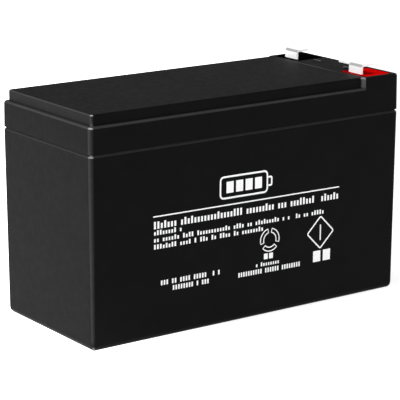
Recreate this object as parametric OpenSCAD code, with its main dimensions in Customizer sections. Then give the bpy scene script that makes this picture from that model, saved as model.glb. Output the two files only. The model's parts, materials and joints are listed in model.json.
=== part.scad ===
/* [Case] */
// Length of the case at its rim
case_l = 151; // [135:1:180]
// Width of the case at its rim
case_w = 65; // [60:1:75]
// Height from the base to the seam under the lid
seam_h = 76.9; // [60:0.1:110]
// Height of the lid's side from the seam to the ledge
skirt_h = 10.7; // [10:0.1:16]
// Height that the cover and the terminal block stand above the ledge
cover_h = 4.4; // [4.2:0.1:7]
// Radius of the case's upright corners
corner_r = 2.2; // [1.5:0.1:3]
// Radius along the case's bottom edge
foot_r = 2.4; // [0.5:0.1:3]
// How far each side of the case leans in at the base
case_draft = 0.6; // [0:0.1:0.8]
// How far each side of the lid leans in at its top
lid_draft = 0.15; // [0.05:0.05:0.4]
// Thickness of the case's outer walls at the rim
wall_t = 2.5; // [2.4:0.1:3]
// Thickness of the case's floor
floor_t = 2.5; // [2:0.1:4]
// Radius along the ledge's outer edge
ledge_r = 1; // [0.4:0.1:1.2]
// Radius along the top edges of the cover and of the terminal block
edge_r = 0.7; // [0.3:0.1:1]
/* [Seam] */
// Depth of the groove that runs round the seam
groove_d = 1; // [0.4:0.1:1.1]
// Height of the groove's lower bevel, on the case
groove_low_h = 0.9; // [0.4:0.1:1.2]
// Height of the groove's upper bevel, on the lid
groove_up_h = 0.3; // [0.2:0.1:1]
// Height of the tongue that the case's rim sends up into the lid
tongue_h = 1.2; // [0.8:0.1:1.5]
// Setback of the tongue from the case's outer face
tongue_setback = 1.4; // [1.3:0.05:1.5]
// Glue room round the tongue
glue_gap = 0.1; // [0.05:0.05:0.15]
// Thickness of the lid's lip on the inner side of the tongue
lid_lip = 1; // [0.8:0.1:1.3]
/* [Cells] */
// Thickness of the walls between the cells
partition_t = 1.6; // [1.2:0.1:2.4]
// Radius of the upright corners inside a cell
cell_r = 1; // [0.6:0.1:1.5]
// Height of the ribs that the plates stand on
rest_h = 1.6; // [1:0.1:4]
// Width of the ribs that the plates stand on
rest_w = 2.2; // [1.5:0.1:4]
// Distance between the two ribs of a cell
rest_pitch = 24; // [16:1:28]
/* [Plates] */
// Positive plates in each cell
positive_count = 4; // [3:1:5]
// Thickness of a positive plate
positive_t = 2.8; // [2:0.1:3.2]
// Thickness of a negative plate
negative_t = 1.9; // [1.4:0.1:2.2]
// Room between the stack's outer plates and the cell's walls
stack_gap = 0.25; // [0.1:0.05:0.5]
// Room between the mat's folds and the cell's wall
fold_gap = 0.4; // [0.3:0.1:1]
// Height that the mat stands above the plates
mat_over = 1.5; // [0.5:0.1:2]
// Width of a plate's lug
lug_w = 9; // [6:0.5:11]
// Height of a plate's lug under the strap
lug_h = 3; // [2.2:0.1:6]
// Setback of the lug from the plate's upright edge
lug_inset = 2; // [1:0.1:3]
// Width of the strap across the lugs
strap_w = 10; // [9.5:0.1:12]
// Thickness of the strap
strap_t = 4; // [3:0.1:6]
// Radius of the strap's upright corners
strap_r = 0.5; // [0.2:0.1:1]
/* [Links] */
// Width of a link between two cells
link_w = 8; // [5:0.5:9]
// Height of a link between two cells
link_h = 4.2; // [3:0.1:6]
// Room between a link's top and the seam
link_top_gap = 0.2; // [0.1:0.05:0.5]
// Room at each side of a link in its notch
link_side_gap = 0.1; // [0.05:0.05:0.3]
/* [Valves] */
// Diameter of the cup that a valve sits in
cup_d = 13.5; // [13:0.1:15]
// Depth of the cup under the ledge's level
cup_depth = 5; // [4.5:0.1:5.4]
// Thickness of the cup's wall and floor
cup_t = 1.5; // [1.2:0.1:1.8]
// Outer diameter of a valve's chimney
chimney_d = 7.4; // [6:0.1:8]
// Bore of a valve's chimney
chimney_bore = 3.4; // [2:0.1:4.5]
// Height of a chimney above its cup's floor
chimney_h = 4.5; // [3.5:0.1:5]
// Thickness of a rubber cap's side
cap_t = 1.6; // [1:0.1:2]
// Thickness of a rubber cap's top
cap_top_t = 1.5; // [1:0.1:2]
// Diameter of the bead round a rubber cap's foot
cap_bead_d = 1.2; // [0.8:0.1:1.4]
// Height of the cap's foot above the cup's floor
cap_foot_gap = 0.3; // [0.1:0.1:0.6]
// Setback of each valve from the middle of its cell
valve_shift = 4; // [3.8:0.1:6]
/* [Cover] */
// Width of the ledge round the cover
ledge_w = 1.8; // [1.2:0.1:3]
// Radius of the cover's upright corners
cover_r = 1.4; // [0.8:0.1:2]
// Radius of the upright corners inside the cover
cover_inner_r = 0.7; // [0.3:0.1:1]
// Thickness of the cover's top
cover_t = 1.8; // [1.4:0.1:2]
// Thickness of the cover's side
cover_side_t = 1.6; // [1.2:0.1:2]
// Gap between the cover and the terminal block
cover_gap = 0.1; // [0.05:0.05:0.2]
// Gap between the cover and the lid's locating rim
rim_gap = 0.15; // [0.1:0.05:0.3]
// Height of the lid's locating rim
rim_h = 1.5; // [1:0.1:2]
// Thickness of the lid's locating rim
rim_t = 1.2; // [0.8:0.1:1.6]
// Diameter of the pads that hold the rubber caps down
pad_d = 8; // [6:0.1:9]
// Width of a gas slot under the cover's rear side
slot_w = 3; // [2:0.1:6]
// Height of a gas slot
slot_h = 0.5; // [0.3:0.1:1]
/* [Lid] */
// Thickness of the lid's deck
deck_t = 2.4; // [2:0.1:2.8]
// Thickness of the terminal block's top
block_t = 2.4; // [1.8:0.1:3]
// How far the slanted ends of the terminal block's step run along the case
block_slant = 1.4; // [0.4:0.1:2]
/* [Terminals] */
// Length of a terminal well along the case
well_l = 15; // [14.6:0.1:16]
// Width of a terminal well across the case
well_w = 16; // [15:0.1:17]
// Wall between a well and the end of the case
well_end_wall = 2.3; // [2.1:0.1:3]
// Wall between a well and the side of the case
well_side_wall = 2.4; // [2.1:0.1:3]
// Wall between a well and the cover
well_near_wall = 2; // [1:0.1:2.4]
// Thickness of a well's sides under the lid's top
well_side_t = 1.2; // [1:0.1:1.8]
// Thickness of a well's floor
well_floor_t = 2; // [1.6:0.1:2.8]
// Depth of a well from the lid's top to its floor
well_depth = 8; // [7:0.1:9]
// Radius of a well's corners
well_r = 2.5; // [1:0.1:4]
// How far the resin lies below the lid's top
resin_low = 0.2; // [0.1:0.1:1]
// Diameter of a terminal post
post_d = 6; // [5:0.1:7]
// Room round a post in the well's floor
post_gap = 0.2; // [0.1:0.05:0.4]
// Height of a post above the well's floor
post_rise = 2.4; // [2:0.1:4]
// Height of the rubber ring round a post
gasket_h = 1.8; // [1.2:0.1:2]
// Width of the rubber ring's section
gasket_t = 1.9; // [1.4:0.1:2.2]
// How far the front tab stands from the middle of its well, towards the case's front side
front_tab_shift = 0.1; // [0:0.1:2]
// How far the rear tab stands from the middle of its well, so that its blade ends inside the case's side
rear_tab_shift = 1.5; // [1.4:0.1:2.2]
// Thickness of a tab's sheet
tab_t = 0.8; // [0.5:0.1:1]
// Width of a tab's leg
tab_leg_w = 8; // [6.5:0.1:9]
// Distance from a tab's leg to the post's axis
tab_leg_back = 3.5; // [3.1:0.1:4.2]
// Length of a tab's foot along the case
tab_foot_l = 7.8; // [7:0.1:9]
// Height of a tab's blade above the lid's top
tab_rise = 3.3; // [2.5:0.1:7]
// Width of a tab's blade
blade_w = 6.35; // [4.75:0.05:6.35]
// Length of the blade beyond its leg
blade_l = 7.8; // [6:0.1:7.9]
// Size of the bevels at the blade's tip
blade_bevel = 1.2; // [0.5:0.1:1.6]
// Diameter of the locking hole in a blade
blade_hole_d = 1.8; // [1.2:0.1:2.4]
// Inner radius of the bend between leg and blade
bend_r = 0.5; // [0.3:0.1:1]
/* [Hidden] */
cell_cols = 3;
cell_count = 2 * cell_cols;
negative_count = positive_count + 1;
mat_gaps = 2 * positive_count;
half_l = case_l / 2;
half_w = case_w / 2;
deck_z = seam_h + skirt_h;
top_z = deck_z + cover_h;
inner_l = case_l - 2 * wall_t;
inner_w = case_w - 2 * wall_t;
cell_l = (inner_l - (cell_cols - 1) * partition_t) / cell_cols;
cell_w = (inner_w - partition_t) / 2;
// The plates fill the height between the ribs and the strap, and the mat fills what the plates leave of the cell
rest_z = floor_t + rest_h;
link_z = seam_h - link_top_gap - link_h;
strap_z = link_z - strap_t;
plate_top_z = strap_z - lug_h;
stack_w = cell_w - 2 * stack_gap;
mat_t = (stack_w - positive_count * positive_t - negative_count * negative_t) / mat_gaps;
plate_w = cell_l - positive_t - 2 * mat_t - 2 * fold_gap;
plate_pitch = (positive_t + negative_t) / 2 + mat_t;
lug_x = plate_w / 2 - lug_inset - lug_w / 2;
link_reach = (cell_l + partition_t) / 2 - lug_x;
// The lid's hollow under the deck, its wells, its block and its cover
lid_ceiling_z = deck_z - deck_t;
cup_floor_z = deck_z - cup_depth;
cap_top_z = cup_floor_z + chimney_h + cap_top_t;
well_x1 = half_l - well_end_wall;
well_x0 = well_x1 - well_l;
well_y1 = half_w - well_side_wall;
well_y0 = well_y1 - well_w;
well_floor_z = top_z - well_depth;
block_x = well_x0 - well_near_wall;
cover_x1 = block_x - cover_gap;
cover_x0 = -half_l + ledge_w;
cover_hw = half_w - ledge_w;
post_x = cell_x(1) + lug_x;
post_top_z = well_floor_z + post_rise;
leg_x = post_x - tab_leg_back;
blade_z = top_z + tab_rise;
// A slice this thin marks a level of a blended body
slice = 0.01;
// The sharpest corner of an outline that is set in, the reach of a cut past a face, and the steps of round forms
least_r = 0.3;
bite = 1;
blend_step = 30;
bead_fn = 24;
arc_fn = 32;
$fn = 64;

// Cells 1 to 3 run from the terminal end along the front row, and 4 to 6 come back along the rear row
function cell_col(i) = i <= cell_cols ? i - 1 : cell_count - i;
function cell_side(i) = i <= cell_cols ? -1 : 1;
function cell_x(i) = inner_l / 2 - cell_l / 2 - cell_col(i) * (cell_l + partition_t);
function cell_y(i) = cell_side(i) * (cell_w + partition_t) / 2;
// The side of the cell, along the case, that holds the positive lugs
function positive_end(i) = -cell_side(i);
// The terminals are numbered by their side: -1 is the positive one at the front, 1 the negative one at the rear
function tab_y(side) = side * (well_y0 + well_y1) / 2 - (side < 0 ? front_tab_shift : rear_tab_shift);
function plate_y(k) = (k - mat_gaps / 2) * plate_pitch;
// The lid's side leans in evenly from the seam to the block's top edge
function lid_inset(z) = lid_draft * (z - seam_h - groove_up_h) / (top_z - edge_r - seam_h - groove_up_h);

// A rectangle with round corners, from one corner to the other
module round_rect(x0, x1, y0, y1, r) {
    translate([x0 + r, y0])
        square([x1 - x0 - 2 * r, y1 - y0]);
    translate([x0, y0 + r])
        square([x1 - x0, y1 - y0 - 2 * r]);
    for (x = [x0 + r, x1 - r], y = [y0 + r, y1 - r])
        translate([x, y])
            circle(r);
}

// The case's outline, set in by a distance on every side
module case_outline(inset) {
    round_rect(-half_l + inset, half_l - inset, -half_w + inset, half_w - inset, max(corner_r - inset, least_r));
}

// One level of a blended body: the case's outline, set in, with its lower face at z
module case_level(z, inset) {
    corner = max(corner_r - inset, least_r);
    for (x = [-1, 1], y = [-1, 1])
        translate([x * (half_l - inset - corner), y * (half_w - inset - corner), z])
            cylinder(h = slice, r = corner, $fn = arc_fn);
}

// A quarter-round blend of radius r from a side into a top face
module top_blend(z, inset, r) {
    for (a = [0:blend_step:90])
        case_level(z - slice - r * (1 - sin(a)), inset + r * (1 - cos(a)));
}

// The inside of every cell, shrunk by a distance, as a flat plan
module cell_plan(shrink) {
    x = cell_l / 2 - shrink;
    y = cell_w / 2 - shrink;
    for (i = [1:cell_count])
        translate([cell_x(i), cell_y(i)])
            round_rect(-x, x, -y, y, cell_r);
}

// The plan of the tongue on the case's rim and on the walls between the cells
module tongue_plan(grow) {
    difference() {
        case_outline(tongue_setback - grow);
        cell_plan(grow);
    }
}

// Everything that a link between cells j and j + 1 fills, with room at its sides and above it
module link_bar(j, side_gap, top_gap) {
    crossing = j == cell_cols;
    x = crossing ? cell_x(j) - lug_x : (cell_x(j) + cell_x(j + 1)) / 2;
    y = crossing ? 0 : cell_y(j);
    length = 2 * link_reach;
    width = link_w + 2 * side_gap;
    translate([x, y, link_z])
        rotate([0, 0, crossing ? 90 : 0])
            translate([-length / 2, -width / 2, 0])
                cube([length, width, link_h + top_gap]);
}

module container() {
    color([0.075, 0.075, 0.078])
    difference() {
        union() {
            hull() {
                for (a = [0:blend_step:90])
                    case_level(foot_r * (1 - cos(a)), case_draft + foot_r * (1 - sin(a)));
                case_level(seam_h - groove_low_h, 0);
                case_level(seam_h - slice, groove_d);
            }
            translate([0, 0, seam_h - bite])
                linear_extrude(bite + tongue_h)
                    case_outline(tongue_setback);
        }
        difference() {
            translate([0, 0, floor_t])
                linear_extrude(seam_h + tongue_h)
                    cell_plan(0);
            for (i = [1:cell_count], s = [-1, 1])
                translate([cell_x(i) + s * rest_pitch / 2 - rest_w / 2, cell_y(i) - cell_w / 2 - bite / 2, floor_t - bite])
                    cube([rest_w, cell_w + bite, rest_h + bite]);
        }
        for (j = [1:cell_count - 1])
            link_bar(j, link_side_gap, seam_h);
    }
}

// A round-cornered pocket under the lid for each cell, and the deeper ones under the terminal block
module lid_hollow() {
    block_y0 = lid_lip + partition_t;
    block_y1 = well_y0 - block_t;
    translate([0, 0, seam_h - bite])
        linear_extrude(lid_ceiling_z - seam_h + bite)
            cell_plan(lid_lip + glue_gap);
    for (y0 = [block_y0, -block_y1])
        translate([0, 0, lid_ceiling_z - bite])
            linear_extrude(top_z - block_t - lid_ceiling_z + bite)
                round_rect(well_x0, well_x1 - lid_lip, y0, y0 + block_y1 - block_y0, cell_r);
}

module well_plan(side, grow = 0) {
    y0 = side < 0 ? -well_y1 : well_y0;
    y1 = side < 0 ? -well_y0 : well_y1;
    round_rect(well_x0 - grow, well_x1 + grow, y0 - grow, y1 + grow, well_r + grow);
}

// The plan of the terminal block: its step lies across the case, with ends that slant back to the case's sides
module block_plan() {
    end_x = block_x + block_slant * (case_w - cover_hw) / ledge_w;
    polygon([
        [block_x, -cover_hw],
        [end_x, -case_w],
        [case_l, -case_w],
        [case_l, case_w],
        [end_x, case_w],
        [block_x, cover_hw]
    ]);
}

// The ring that centres the cover from inside
module locating_rim() {
    inset = cover_side_t + rim_gap;
    translate([0, 0, deck_z - bite])
        linear_extrude(bite + rim_h)
            difference() {
                round_rect(cover_x0 + inset, cover_x1 - inset, -cover_hw + inset, cover_hw - inset, cover_r);
                round_rect(cover_x0 + inset + rim_t, cover_x1 - inset - rim_t, -cover_hw + inset + rim_t,
                    cover_hw - inset - rim_t, cover_inner_r);
            }
}

module at_valve(i) {
    translate([cell_x(i) - valve_shift, cell_y(i), cup_floor_z])
        children();
}

module lid() {
    color([0.085, 0.085, 0.088])
    difference() {
        union() {
            difference() {
                union() {
                    hull() {
                        case_level(seam_h, groove_d);
                        case_level(seam_h + groove_up_h, 0);
                        top_blend(deck_z, lid_inset(deck_z - ledge_r), ledge_r);
                    }
                    intersection() {
                        hull() {
                            case_level(seam_h + groove_up_h, 0);
                            top_blend(top_z, lid_draft, edge_r);
                        }
                        translate([0, 0, deck_z - ledge_r - bite])
                            linear_extrude(top_z)
                                block_plan();
                    }
                    locating_rim();
                }
                lid_hollow();
            }
            for (s = [-1, 1])
                translate([0, 0, well_floor_z - well_floor_t])
                    linear_extrude(well_floor_t + bite)
                        well_plan(s, well_side_t);
            for (i = [1:cell_count])
                at_valve(i)
                    translate([0, 0, -cup_t])
                        cylinder(h = cup_t + cup_depth, d = cup_d + 2 * cup_t);
        }
        translate([0, 0, seam_h - bite])
            linear_extrude(bite + tongue_h + glue_gap)
                tongue_plan(glue_gap);
        for (i = [1:cell_count])
            at_valve(i) {
                difference() {
                    cylinder(h = cup_depth + bite, d = cup_d);
                    translate([0, 0, -bite])
                        cylinder(h = chimney_h + bite, d = chimney_d);
                }
                translate([0, 0, -cup_t - bite])
                    cylinder(h = cup_depth + chimney_h, d = chimney_bore);
            }
        for (s = [-1, 1]) {
            translate([0, 0, well_floor_z])
                linear_extrude(well_depth + bite)
                    well_plan(s);
            translate([post_x, tab_y(s), seam_h])
                cylinder(h = top_z, d = post_d + 2 * post_gap);
        }
    }
}

// One level of the cover, open towards the terminal block, set in on its other three sides
module cover_level(z, inset) {
    corner = max(cover_r - inset, least_r);
    x1 = cover_x1 + cover_r;
    for (x = [cover_x0 + inset + corner, x1], y = [-1, 1])
        translate([x, y * (cover_hw - inset - corner), z])
            cylinder(h = slice, r = corner);
}

module vent_cover() {
    color([0.085, 0.085, 0.088])
    union() {
        difference() {
            intersection() {
                hull() {
                    cover_level(deck_z, 0);
                    for (a = [0:blend_step:90])
                        cover_level(top_z - slice - edge_r * (1 - sin(a)), edge_r * (1 - cos(a)));
                }
                translate([-case_l, -case_w, deck_z])
                    cube([case_l + cover_x1, 2 * case_w, cover_h]);
            }
            translate([0, 0, deck_z - bite])
                linear_extrude(bite + cover_h - cover_t)
                    round_rect(cover_x0 + cover_side_t, cover_x1 - cover_side_t, -cover_hw + cover_side_t,
                        cover_hw - cover_side_t, cover_inner_r);
            for (c = [1, cell_cols])
                translate([cell_x(c) - slot_w / 2, cover_hw - cover_side_t - bite, deck_z - bite])
                    cube([slot_w, cover_side_t + 2 * bite, bite + slot_h]);
        }
        for (i = [1:cell_count])
            translate([cell_x(i) - valve_shift, cell_y(i), cap_top_z])
                cylinder(h = top_z - cover_t / 2 - cap_top_z, d = pad_d);
    }
}

// A soft cap, pulled over its chimney like a bottle's stopper
module valve_cap(i) {
    inner_r = chimney_d / 2;
    outer_r = inner_r + cap_t;
    top = chimney_h + cap_top_t;
    bead_r = cap_bead_d / 2;
    color([0.12, 0.12, 0.13])
    at_valve(i)
        difference() {
            rotate_extrude()
                union() {
                    translate([0, cap_foot_gap])
                        square([outer_r, top - cap_foot_gap - bead_r]);
                    translate([0, top - 2 * bead_r])
                        square([outer_r - bead_r, 2 * bead_r]);
                    translate([outer_r - bead_r, top - bead_r])
                        circle(bead_r, $fn = bead_fn);
                    translate([outer_r, cap_foot_gap + bead_r])
                        circle(bead_r, $fn = bead_fn);
                }
            translate([0, 0, -bite])
                cylinder(h = chimney_h + bite, r = inner_r);
        }
}

// A cell's frame: its middle at the height where the plates stand
module in_cell(i) {
    translate([cell_x(i), cell_y(i), rest_z])
        children();
}

// One plate: a pasted grid with a stiff top bar, standing on the cell's ribs, with its lug up
module plate(t, end) {
    height = plate_top_z - rest_z;
    translate([-plate_w / 2, -t / 2, 0])
        cube([plate_w, t, height]);
    translate([end * lug_x - lug_w / 2, -t / 2, height - bite])
        cube([lug_w, t, lug_h + strap_t / 2 + bite]);
}

// The bar that is cast onto the lugs of like plates
module strap(end) {
    translate([end * lug_x, 0, strap_z - rest_z])
        linear_extrude(strap_t)
            round_rect(-strap_w / 2, strap_w / 2, -stack_w / 2, stack_w / 2, strap_r);
}

module positive_plates(i) {
    end = positive_end(i);
    color([0.33, 0.22, 0.17])
    in_cell(i)
        union() {
            for (k = [1:2:mat_gaps - 1])
                translate([0, plate_y(k), 0])
                    plate(positive_t, end);
            strap(end);
        }
}

module negative_plates(i) {
    end = -positive_end(i);
    color([0.45, 0.46, 0.48])
    in_cell(i)
        union() {
            for (k = [0:2:mat_gaps])
                translate([0, plate_y(k), 0])
                    plate(negative_t, end);
            strap(end);
        }
}

// A half ring that carries the mat round the upright edge of a plate that is t thick
module mat_fold(t, end) {
    translate([end * plate_w / 2, 0])
        intersection() {
            difference() {
                circle(t / 2 + mat_t);
                circle(t / 2);
            }
            translate([end > 0 ? 0 : -2 * plate_pitch, -2 * plate_pitch])
                square([2 * plate_pitch, 4 * plate_pitch]);
        }
}

// The glass mat, folded to and fro so that every plate has it on both faces
module separator(i) {
    color([0.93, 0.93, 0.9])
    in_cell(i)
        linear_extrude(plate_top_z - rest_z + mat_over)
            union() {
                for (k = [0:mat_gaps - 1]) {
                    low_t = k % 2 == 0 ? negative_t : positive_t;
                    translate([-plate_w / 2, plate_y(k) + low_t / 2])
                        square([plate_w, mat_t]);
                }
                for (k = [1:mat_gaps - 1])
                    translate([0, plate_y(k)])
                        mat_fold(k % 2 == 0 ? negative_t : positive_t, k % 2 == 0 ? 1 : -1);
            }
}

module cell_link(j) {
    color([0.5, 0.51, 0.53])
    link_bar(j, 0, 0);
}

module post(side) {
    color([0.52, 0.53, 0.55])
    translate([post_x, tab_y(side), link_z])
        cylinder(h = post_top_z - link_z, d = post_d);
}

module gasket(side) {
    color([0.1, 0.1, 0.1])
    translate([post_x, tab_y(side), well_floor_z])
        difference() {
            cylinder(h = gasket_h, d = post_d + 2 * gasket_t);
            translate([0, 0, -bite])
                cylinder(h = gasket_h + 2 * bite, d = post_d);
        }
}

// The sheet of a tab in side view: foot, leg and blade bent from one strip
module tab_profile() {
    foot_z = post_top_z;
    translate([leg_x, foot_z])
        square([tab_foot_l, tab_t]);
    translate([leg_x, foot_z])
        square([tab_t, blade_z - bend_r - foot_z]);
    translate([leg_x + tab_t + bend_r, blade_z])
        square([blade_w - tab_t - bend_r, tab_t]);
    translate([leg_x + tab_t + bend_r, blade_z - bend_r])
        intersection() {
            difference() {
                circle(tab_t + bend_r);
                circle(bend_r);
            }
            translate([-2 * tab_t - bend_r, 0])
                square([2 * tab_t + bend_r, 2 * tab_t + bend_r]);
        }
}

module tab(side) {
    leg_y0 = tab_y(side) - tab_leg_w / 2;
    leg_y1 = leg_y0 + tab_leg_w;
    color([0.86, 0.86, 0.87])
    difference() {
        union() {
            translate([0, leg_y1, 0])
                rotate([90, 0, 0])
                    linear_extrude(tab_leg_w)
                        tab_profile();
            translate([0, 0, blade_z])
                linear_extrude(tab_t)
                    polygon([
                        [leg_x + tab_t + bend_r, leg_y0],
                        [leg_x + blade_w, leg_y0],
                        [leg_x + blade_w, leg_y1 + blade_l - blade_bevel],
                        [leg_x + blade_w - blade_bevel, leg_y1 + blade_l],
                        [leg_x + blade_bevel, leg_y1 + blade_l],
                        [leg_x, leg_y1 + blade_l - blade_bevel],
                        [leg_x, leg_y1],
                        [leg_x + tab_t + bend_r, leg_y1]
                    ]);
        }
        translate([leg_x + blade_w / 2, leg_y1 + blade_l / 2, blade_z - bite])
            cylinder(h = tab_t + 2 * bite, d = blade_hole_d);
    }
}

// The resin that fills a well round the post, its ring and the tab
module seal(side) {
    color(side < 0 ? [0.8, 0.02, 0.02] : [0.02, 0.02, 0.02])
    difference() {
        translate([0, 0, well_floor_z])
            linear_extrude(well_depth - resin_low)
                well_plan(side);
        // The post's hole runs on into the space that the tab's foot takes
        translate([post_x, tab_y(side), well_floor_z - bite])
            cylinder(h = bite + post_rise + tab_t / 2, d = post_d);
        translate([post_x, tab_y(side), well_floor_z - bite])
            cylinder(h = bite + gasket_h, d = post_d + 2 * gasket_t);
        translate([0, tab_y(side) + tab_leg_w / 2, 0])
            rotate([90, 0, 0])
                linear_extrude(tab_leg_w)
                    tab_profile();
    }
}

container();
lid();
vent_cover();
for (i = [1:cell_count]) {
    valve_cap(i);
    positive_plates(i);
    negative_plates(i);
    separator(i);
}
for (j = [1:cell_count - 1]) {
    cell_link(j);
}
post(-1);  // positive_post
post(1);  // negative_post
gasket(-1);  // positive_gasket
gasket(1);  // negative_gasket
tab(-1);  // positive_tab
tab(1);  // negative_tab
seal(-1);  // positive_seal
seal(1);  // negative_seal
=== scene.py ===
import json
import math

import bmesh
import bpy
from mathutils import Matrix, Vector
from mathutils.bvhtree import BVHTree


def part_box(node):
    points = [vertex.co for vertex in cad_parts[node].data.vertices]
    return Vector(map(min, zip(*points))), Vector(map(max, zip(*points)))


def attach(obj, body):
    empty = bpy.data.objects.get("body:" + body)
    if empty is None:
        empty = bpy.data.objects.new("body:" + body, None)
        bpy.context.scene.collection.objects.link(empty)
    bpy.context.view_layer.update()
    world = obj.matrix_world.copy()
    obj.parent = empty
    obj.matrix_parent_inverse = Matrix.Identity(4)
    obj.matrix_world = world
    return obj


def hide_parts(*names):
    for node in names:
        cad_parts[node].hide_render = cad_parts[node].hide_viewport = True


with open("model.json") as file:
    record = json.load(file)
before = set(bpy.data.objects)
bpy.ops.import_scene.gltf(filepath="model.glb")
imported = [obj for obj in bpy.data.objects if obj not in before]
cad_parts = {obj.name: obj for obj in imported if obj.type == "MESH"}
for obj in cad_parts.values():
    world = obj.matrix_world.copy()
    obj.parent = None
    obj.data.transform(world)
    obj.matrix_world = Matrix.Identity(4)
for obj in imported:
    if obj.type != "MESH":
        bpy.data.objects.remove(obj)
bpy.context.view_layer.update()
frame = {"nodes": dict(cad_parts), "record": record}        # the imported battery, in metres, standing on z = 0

mm = 0.001               # lengths are in metres, apart from those marked as millimetres
scene = bpy.context.scene
print("stage: frame loaded,", len(frame["nodes"]), "nodes")

# Node helpers for the materials and the geometry trees. Most hand on a node's output, and what they
# take is another node's output or a plain value


def feed(tree, entry, value):
    if isinstance(value, bpy.types.NodeSocket):
        tree.links.new(value, entry)
    else:
        entry.default_value = value


def addNode(tree, kind, values=None, **settings):
    made = tree.nodes.new(kind)
    for name, value in settings.items():
        setattr(made, name, value)
    for name, value in (values or {}).items():
        feed(tree, made.inputs[name], value)
    return made


def mathNode(tree, operation, first, second=None):
    values = {0: first} if second is None else {0: first, 1: second}
    return addNode(tree, "ShaderNodeMath", values, operation=operation).outputs["Value"]


def product(tree, *factors):
    made = factors[0]
    for factor in factors[1:]:
        made = mathNode(tree, "MULTIPLY", made, factor)
    return made


def between(tree, value, low, high):
    return product(tree, mathNode(tree, "GREATER_THAN", value, low), mathNode(tree, "LESS_THAN", value, high))


def combine(tree, x, y, z):
    return addNode(tree, "ShaderNodeCombineXYZ", {"X": x, "Y": y, "Z": z}).outputs["Vector"]


def axesOf(tree, vector):
    return addNode(tree, "ShaderNodeSeparateXYZ", {"Vector": vector}).outputs


def unsignedAxes(tree, vector):
    size = addNode(tree, "ShaderNodeVectorMath", {0: vector}, operation="ABSOLUTE")
    return axesOf(tree, size.outputs["Vector"])


def coordinates(tree):
    return addNode(tree, "ShaderNodeTexCoord").outputs


def objectPoint(tree, stretch=(1, 1, 1), shift=(0, 0, 0)):
    values = {"Vector": coordinates(tree)["Object"], "Location": shift, "Scale": stretch}
    return addNode(tree, "ShaderNodeMapping", values).outputs["Vector"]


def noise(tree, point, scale, detail=2.0, roughness=0.5):
    values = {"Vector": point, "Scale": scale, "Detail": detail, "Roughness": roughness}
    return addNode(tree, "ShaderNodeTexNoise", values).outputs["Fac"]


def remap(tree, value, low, high, fromLow=0.3, fromHigh=0.7, **settings):
    # without limits of its own it takes a noise's usual reach, 0.3 to 0.7
    values = {"Value": value, "From Min": fromLow, "From Max": fromHigh, "To Min": low, "To Max": high}
    return addNode(tree, "ShaderNodeMapRange", values, **settings).outputs["Result"]


def opaque(colour):
    # a plain colour gets its alpha
    return colour if isinstance(colour, bpy.types.NodeSocket) else (*colour, 1)


def blend(tree, factor, first, second):
    # the colour sockets share their names with other kinds, so they go by number
    values = {0: factor, 6: opaque(first), 7: opaque(second)}
    return addNode(tree, "ShaderNodeMix", values, data_type="RGBA").outputs[2]


def bumpFrom(tree, height, strength, distance, under=None):
    values = {"Height": height, "Strength": strength, "Distance": distance}
    if under is not None:
        values["Normal"] = under
    return addNode(tree, "ShaderNodeBump", values).outputs["Normal"]


def newMaterial(name):
    material = bpy.data.materials.new(name)
    material.use_nodes = True
    return material, material.node_tree


def dress(tree, values):
    for name, value in values.items():
        feed(tree, tree.nodes["Principled BSDF"].inputs[name], value)


# Painted highlights: the black skin is painted paler where highlights would fall, by a face's place and by the
# parts of its direction:
# on the rounded edges and the ledge, and up to a pale painted glint on corners and the step's slanted ends
paintedHighlights = {
    "square": 0.9,              # a face is square to an axis where that part of its direction is over this
    "turnTo": 0.08,             # an edge takes its full painted highlight where the largest part is this far under 1
    "endFrom": 0.1,             # edges that look to the battery's two ends get the strongest painted highlight,
    "endTo": 0.6,
    "sideShare": 0.55,          # those that look to its long sides less,
    "sideFull": 88 * mm,
    "sideGone": 89 * mm,        # and from here up not at all
    "frontFrom": 0.45,          # upright edges get less painted highlight where they turn to the long sides
    "frontShare": 0.12,
    "footFrom": 1.5 * mm,       # the edges at the foot get no painted highlight
    "footTo": 4 * mm,
    "ledgeShare": 0.5,          # the flat of the ledge is painted evenly paler, painted light against the shade the cover's side casts on it
    "ledgeLow": 87.25 * mm,
    "ledgeHigh": 87.95 * mm,
    "cornerFrom": 0.06,         # the product of all three parts is large on corners only
    "cornerTo": 0.17,
    "stepFrom": 56.05 * mm,     # the step's ends lie between these and outside stepSide
    "stepTo": 57.6 * mm,
    "stepSide": 30.55 * mm,
    "stepShare": 0.14,          # they take a little painted glint below and more at their top
    "stepTopShare": 0.7,
    "stepLow": 91.3 * mm,
    "stepHigh": 91.6 * mm,
}


# the share of painted highlight on rounded edges and on the ledge's flat
def paintedHighlightShare(tree, facing, place):
    most = mathNode(tree, "MAXIMUM", mathNode(tree, "MAXIMUM", facing["X"], facing["Y"]), facing["Z"])
    rounded = remap(tree, mathNode(tree, "SUBTRACT", 1, most), 0, 1, 0, paintedHighlights["turnTo"])
    side = remap(tree, place["Z"], 0, paintedHighlights["sideShare"], paintedHighlights["sideGone"], paintedHighlights["sideFull"])
    toEnds = remap(tree, facing["X"], side, 1, paintedHighlights["endFrom"], paintedHighlights["endTo"])
    upright = mathNode(tree, "SUBTRACT", facing["Y"], facing["Z"])
    toFront = remap(tree, upright, 1, paintedHighlights["frontShare"], paintedHighlights["frontFrom"], 1)
    aboveFoot = remap(tree, place["Z"], 0, 1, paintedHighlights["footFrom"], paintedHighlights["footTo"])
    edges = product(tree, rounded, toEnds, toFront, aboveFoot)
    # the ledge's flat is painted paler: painted light where the cover's side shades it
    onLedge = between(tree, place["Z"], paintedHighlights["ledgeLow"], paintedHighlights["ledgeHigh"])
    flat = mathNode(tree, "GREATER_THAN", facing["Z"], paintedHighlights["square"])
    return mathNode(tree, "MAXIMUM", edges, product(tree, onLedge, flat, paintedHighlights["ledgeShare"]))


# the share of painted glint on corners and on the step's slanted ends
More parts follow.
